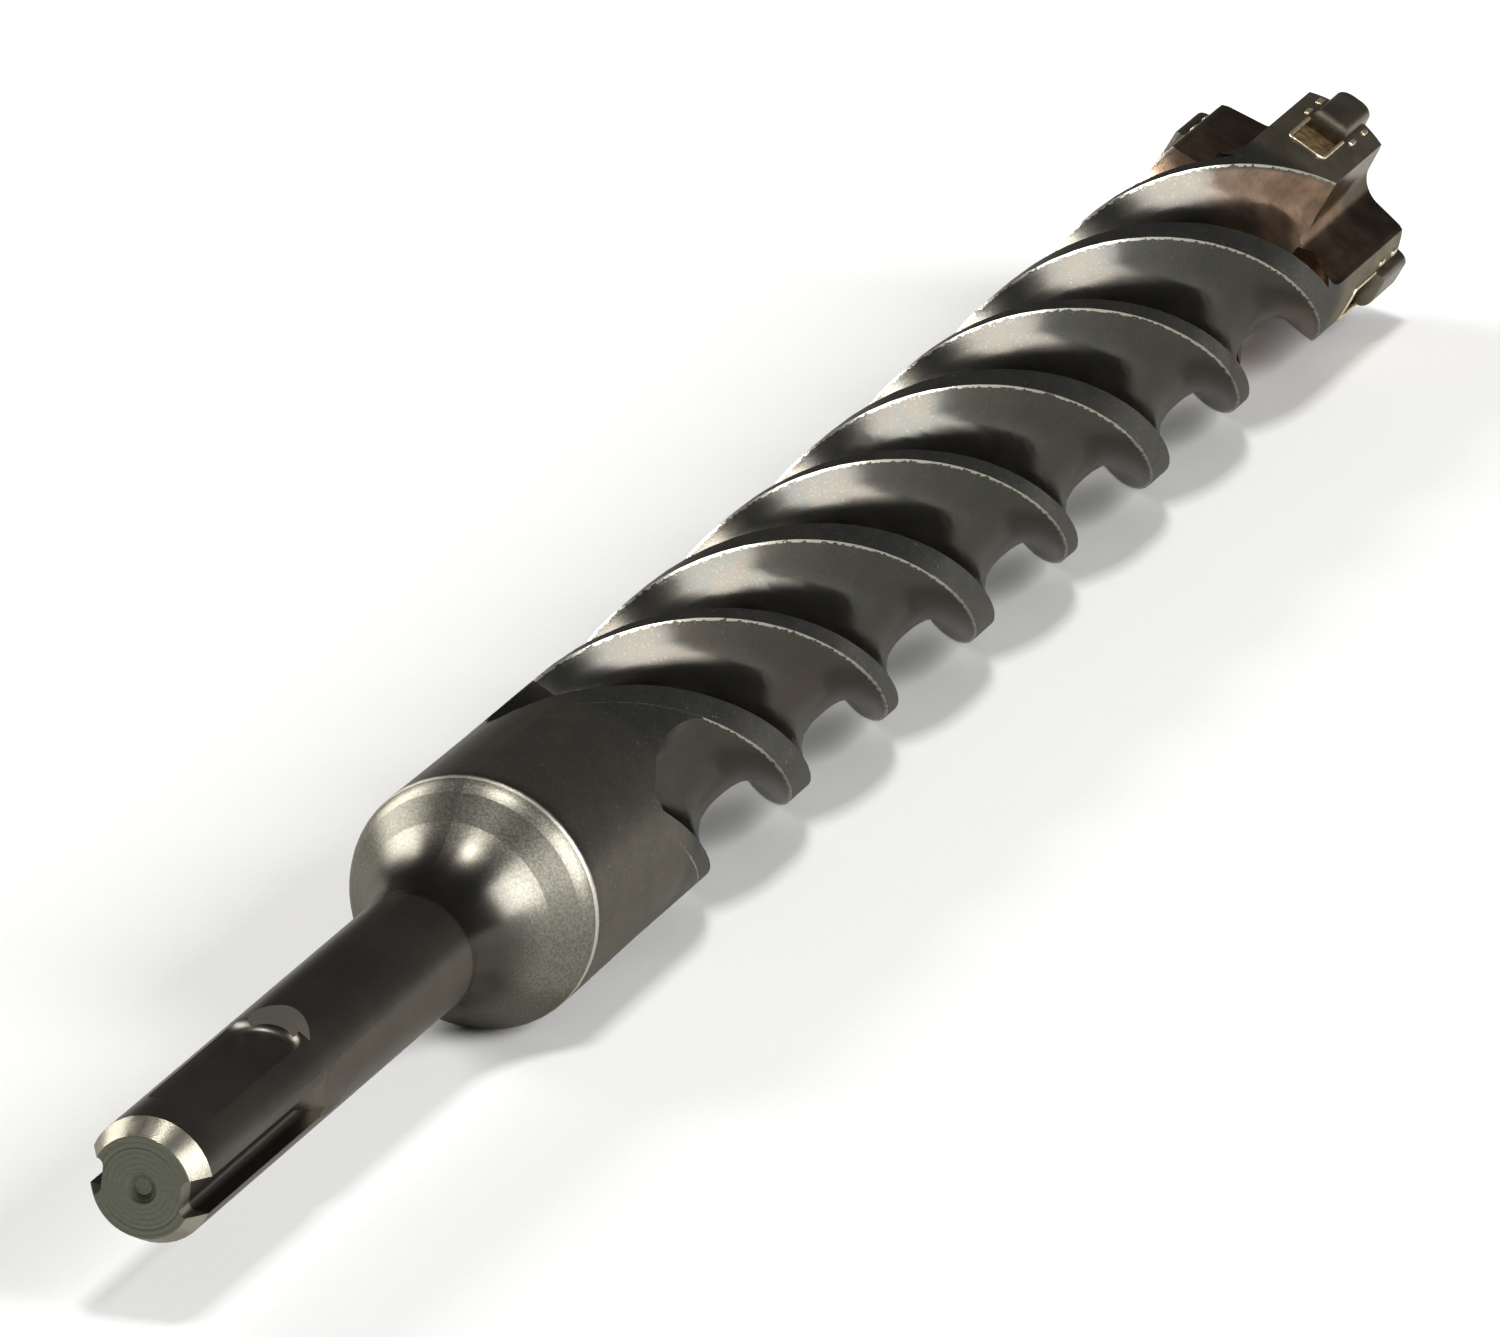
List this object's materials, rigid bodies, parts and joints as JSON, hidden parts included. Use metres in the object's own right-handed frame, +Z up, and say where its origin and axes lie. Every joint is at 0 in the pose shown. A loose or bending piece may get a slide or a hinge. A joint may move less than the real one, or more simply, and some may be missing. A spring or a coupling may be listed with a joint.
{
  "type": "hammer drill bit",
  "caption": "Masonry hammer drill bit with a slotted shank, a flared collar, a fluted steel body and a cross-shaped carbide head",
  "frame": {"origin": "centre of the end face of the shank, on the axis", "axes": "+Y along the axis toward the tip, +Z up as the bit lies at rest, +X to the right seen from the tip"},
  "size_m": [0.0206, 0.25, 0.0206],
  "materials": {
    "steel": "dark heat-treated steel, brighter on the flare",
    "carbide": "ground sintered carbide",
    "braze": "matt braze"
  },
  "bodies": {
    "root": {"steel_body": "steel", "main_carbide_plate": "carbide", "side_carbide_plate_a": "carbide", "side_carbide_plate_b": "carbide", "braze_fill_a": "braze", "braze_fill_b": "braze", "braze_fill_c": "braze", "braze_fill_d": "braze"}
  },
  "joints": []
}
